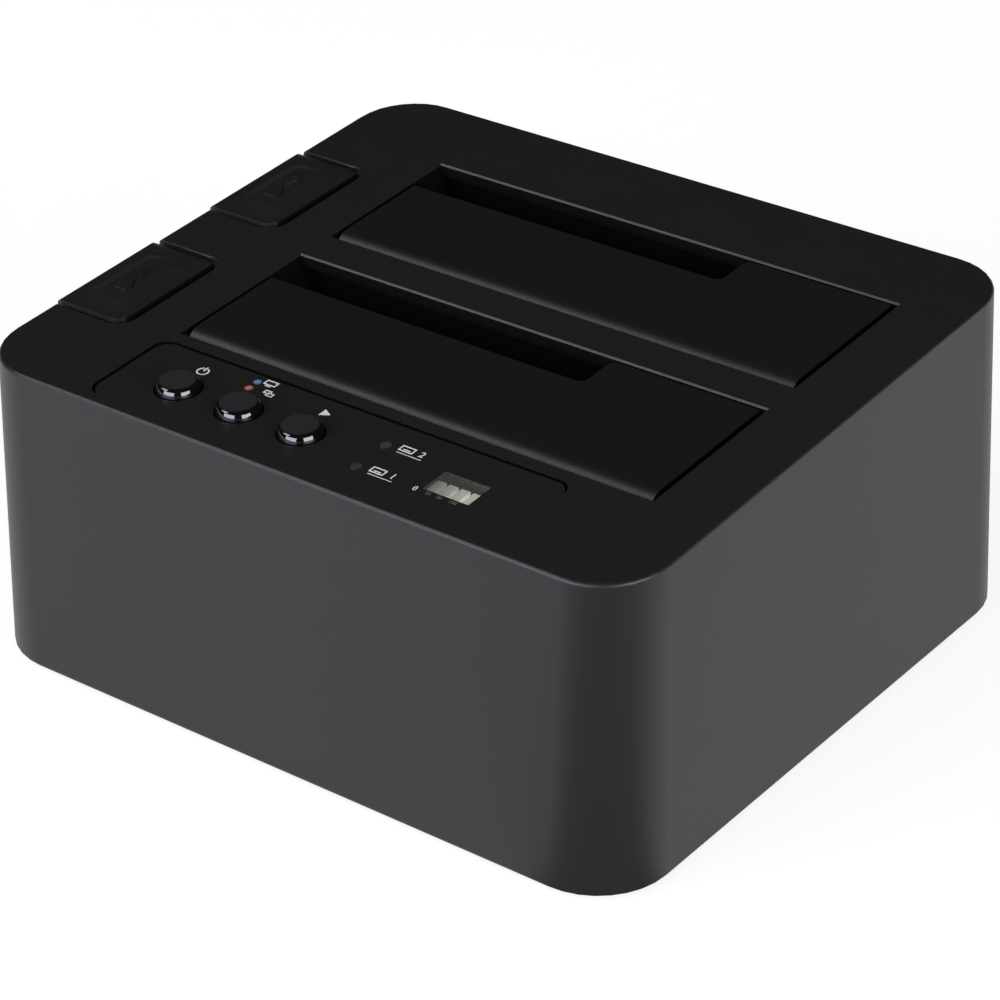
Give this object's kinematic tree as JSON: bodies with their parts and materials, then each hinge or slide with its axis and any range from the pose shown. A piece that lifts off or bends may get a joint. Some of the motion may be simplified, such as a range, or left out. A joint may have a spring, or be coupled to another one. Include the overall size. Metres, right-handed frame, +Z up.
{
  "type": "hard drive docking station",
  "caption": "Black desktop dock with a sloped top, sprung flap doors over side by side drive bays, eject buttons and a control panel with round push buttons.",
  "frame": {"origin": "on the table under the middle of the case, level with the underside of the feet", "axes": "+X along the long side to the right, -Y towards the front with the control panel, +Z up"},
  "size_m": [0.146, 0.132, 0.0682],
  "materials": {
    "case_plastic": "fine moulded texture, black",
    "inner_plastic": "plain moulded, black",
    "panel_plastic": "smooth satin film, black",
    "button_plastic": "polished sides, matte top, black",
    "foot_rubber": "matte rubber",
    "screw_steel": "zinc plated",
    "pin_steel": "ground rod",
    "spring_steel": "drawn wire",
    "blue_lens": "clear tinted lens",
    "orange_lens": "clear tinted lens",
    "dark_lens": "smoked lens",
    "smoked_window": "smoked clear plastic",
    "light_bar": "diffusing plastic",
    "circuit_board": "green solder mask",
    "switch_metal": "stamped cover",
    "led_resin": "cast resin",
    "header_plastic": "moulded nylon",
    "ribbon_cable": "flat cable jacket",
    "socket_plastic": "moulded glass-filled nylon",
    "port_shell": "nickel plated",
    "chip_resin": "moulded epoxy",
    "capacitor_can": "drawn can"
  },
  "bodies": {
    "case": {"top_cover": "case_plastic", "base_plate": "inner_plastic", "rubber_feet": "foot_rubber", "case_screws": "screw_steel", "front_bay_liner": "inner_plastic", "rear_bay_liner": "inner_plastic", "liner_screws": "screw_steel", "front_flap_pin": "pin_steel", "rear_flap_pin": "pin_steel", "front_flap_spring": "spring_steel", "rear_flap_spring": "spring_steel", "front_eject_spring": "spring_steel", "rear_eject_spring": "spring_steel", "front_lever_pin": "pin_steel", "rear_lever_pin": "pin_steel", "front_eject_bracket": "inner_plastic", "rear_eject_bracket": "inner_plastic", "bracket_screws": "screw_steel", "control_panel": "panel_plastic", "blue_indicator": "blue_lens", "orange_indicator": "orange_lens", "first_drive_indicator": "dark_lens", "second_drive_indicator": "dark_lens", "progress_window": "smoked_window", "progress_bars": "light_bar", "button_board": "circuit_board", "button_board_screws": "screw_steel", "push_switches": "switch_metal", "panel_leds": "led_resin", "cable_headers": "header_plastic", "panel_cable": "ribbon_cable", "main_board": "circuit_board", "board_screws": "screw_steel", "front_drive_socket": "socket_plastic", "rear_drive_socket": "socket_plastic", "usb_port": "port_shell", "esata_port": "port_shell", "power_jack": "socket_plastic", "controller_chips": "chip_resin", "capacitors": "capacitor_can"},
    "front_flap": {"front_flap": "case_plastic"},
    "rear_flap": {"rear_flap": "case_plastic"},
    "front_eject_button": {"front_eject_button": "case_plastic"},
    "rear_eject_button": {"rear_eject_button": "case_plastic"},
    "front_eject_lever": {"front_eject_lever": "inner_plastic"},
    "rear_eject_lever": {"rear_eject_lever": "inner_plastic"},
    "power_button": {"power_button": "button_plastic"},
    "mode_button": {"mode_button": "button_plastic"},
    "start_button": {"start_button": "button_plastic"}
  },
  "joints": [
    {"name": "front_flap_hinge", "type": "hinge", "parent": "case", "child": "front_flap", "pos_m": [0.0069, -0.03259, 0.05936], "axis": [-1, 0, 0], "range_deg": [0, 86], "stiffness_Nm_per_rad": 0.02, "springref_deg": -28.65, "deforming": ["front_flap_spring"]},
    {"name": "front_eject_push", "type": "slide", "parent": "case", "child": "front_eject_button", "axis": [0, 0, -1], "range_m": [0, 0.005], "stiffness_N_per_m": 150, "springref_m": -0.006, "deforming": ["front_eject_spring"]},
    {"name": "front_eject_lever_pivot", "type": "hinge", "parent": "case", "child": "front_eject_lever", "pos_m": [-0.052, -0.02638, 0.0135], "axis": [0, -1, 0], "range_deg": [0, 28]},
    {"name": "rear_flap_hinge", "type": "hinge", "parent": "case", "child": "rear_flap", "pos_m": [0.0069, 0.01021, 0.0619], "axis": [-1, 0, 0], "range_deg": [0, 86], "stiffness_Nm_per_rad": 0.02, "springref_deg": -28.65, "deforming": ["rear_flap_spring"]},
    {"name": "rear_eject_push", "type": "slide", "parent": "case", "child": "rear_eject_button", "axis": [0, 0, -1], "range_m": [0, 0.005], "stiffness_N_per_m": 150, "springref_m": -0.006, "deforming": ["rear_eject_spring"]},
    {"name": "rear_eject_lever_pivot", "type": "hinge", "parent": "case", "child": "rear_eject_lever", "pos_m": [-0.052, 0.01642, 0.0135], "axis": [0, -1, 0], "range_deg": [0, 28]},
    {"name": "power_button_push", "type": "slide", "parent": "case", "child": "power_button", "axis": [0, 0.0593, -0.9982], "range_m": [0, 0.0006], "stiffness_N_per_m": 800, "springref_m": -0.0006},
    {"name": "mode_button_push", "type": "slide", "parent": "case", "child": "mode_button", "axis": [0, 0.0593, -0.9982], "range_m": [0, 0.0006], "stiffness_N_per_m": 800, "springref_m": -0.0006},
    {"name": "start_button_push", "type": "slide", "parent": "case", "child": "start_button", "axis": [0, 0.0593, -0.9982], "range_m": [0, 0.0006], "stiffness_N_per_m": 800, "springref_m": -0.0006}
  ],
  "couplings": [
    {"joint": "front_eject_lever_pivot", "follows": "front_eject_push", "rad_per_m": 97.109},
    {"joint": "rear_eject_lever_pivot", "follows": "rear_eject_push", "rad_per_m": 97.109}
  ]
}
